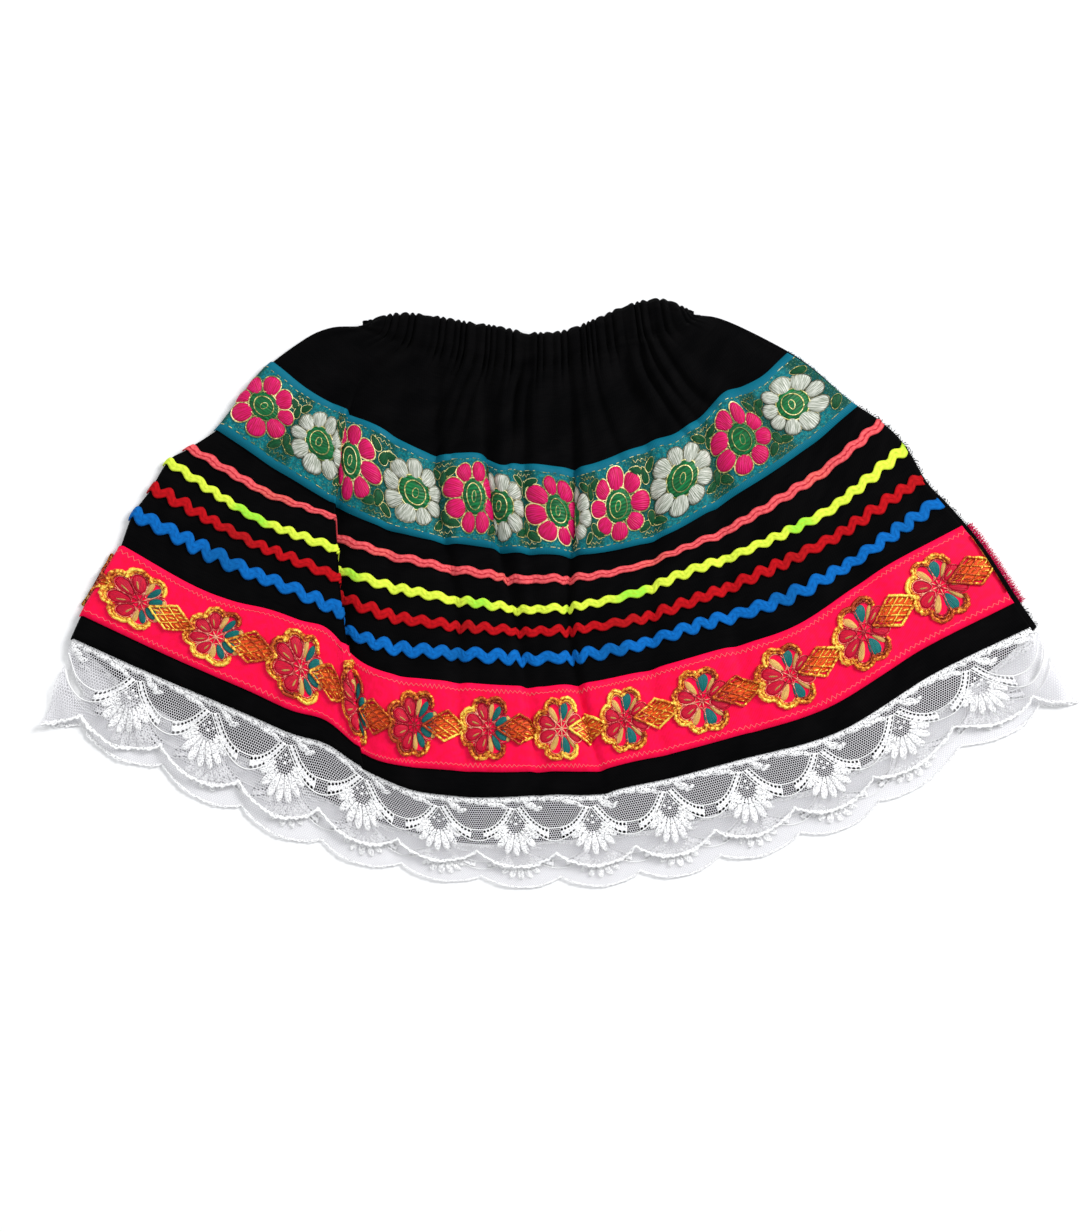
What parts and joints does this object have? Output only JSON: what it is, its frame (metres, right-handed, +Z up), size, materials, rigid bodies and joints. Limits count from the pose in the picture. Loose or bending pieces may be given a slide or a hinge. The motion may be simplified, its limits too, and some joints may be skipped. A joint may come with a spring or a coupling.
{
  "type": "flared skirt",
  "caption": "Child's flared skirt laid flat, with a gathered elastic waist, embroidered ribbon bands, rows of rickrack and a scalloped lace hem.",
  "frame": {"origin": "middle of the laid-out skirt's outline, on the surface that it lies on", "axes": "+X across the skirt to the viewer's right, +Y from hem to waist, +Z up from the surface"},
  "size_m": [0.5177, 0.2955, 0.0104],
  "materials": {
    "black_cloth": "plain woven black cotton, matt with faint slubs",
    "teal_ribbon": "woven teal ribbon with satin-stitch flowers, soft sheen",
    "pink_ribbon": "woven hot pink ribbon with metallic gold and coloured embroidery",
    "coral_braid": "ribbed flat braid, matt",
    "yellow_braid": "ribbed flat braid, matt, fluorescent yellow",
    "red_braid": "ribbed flat braid, matt",
    "blue_braid": "ribbed flat braid, matt",
    "white_lace": "fine machine lace on a net ground, matt white"
  },
  "bodies": {
    "root": {"front_panel": "black_cloth", "back_panel": "black_cloth", "front_casing": "black_cloth", "back_casing": "black_cloth", "teal_ribbon_front": "teal_ribbon", "teal_ribbon_back": "teal_ribbon", "pink_ribbon_front": "pink_ribbon", "pink_ribbon_back": "pink_ribbon", "coral_rickrack_left": "coral_braid", "coral_rickrack_right": "coral_braid", "yellow_rickrack_left": "yellow_braid", "yellow_rickrack_right": "yellow_braid", "red_rickrack_left": "red_braid", "red_rickrack_right": "red_braid", "blue_rickrack_left": "blue_braid", "blue_rickrack_right": "blue_braid", "front_lace": "white_lace", "back_lace": "white_lace"}
  },
  "joints": []
}
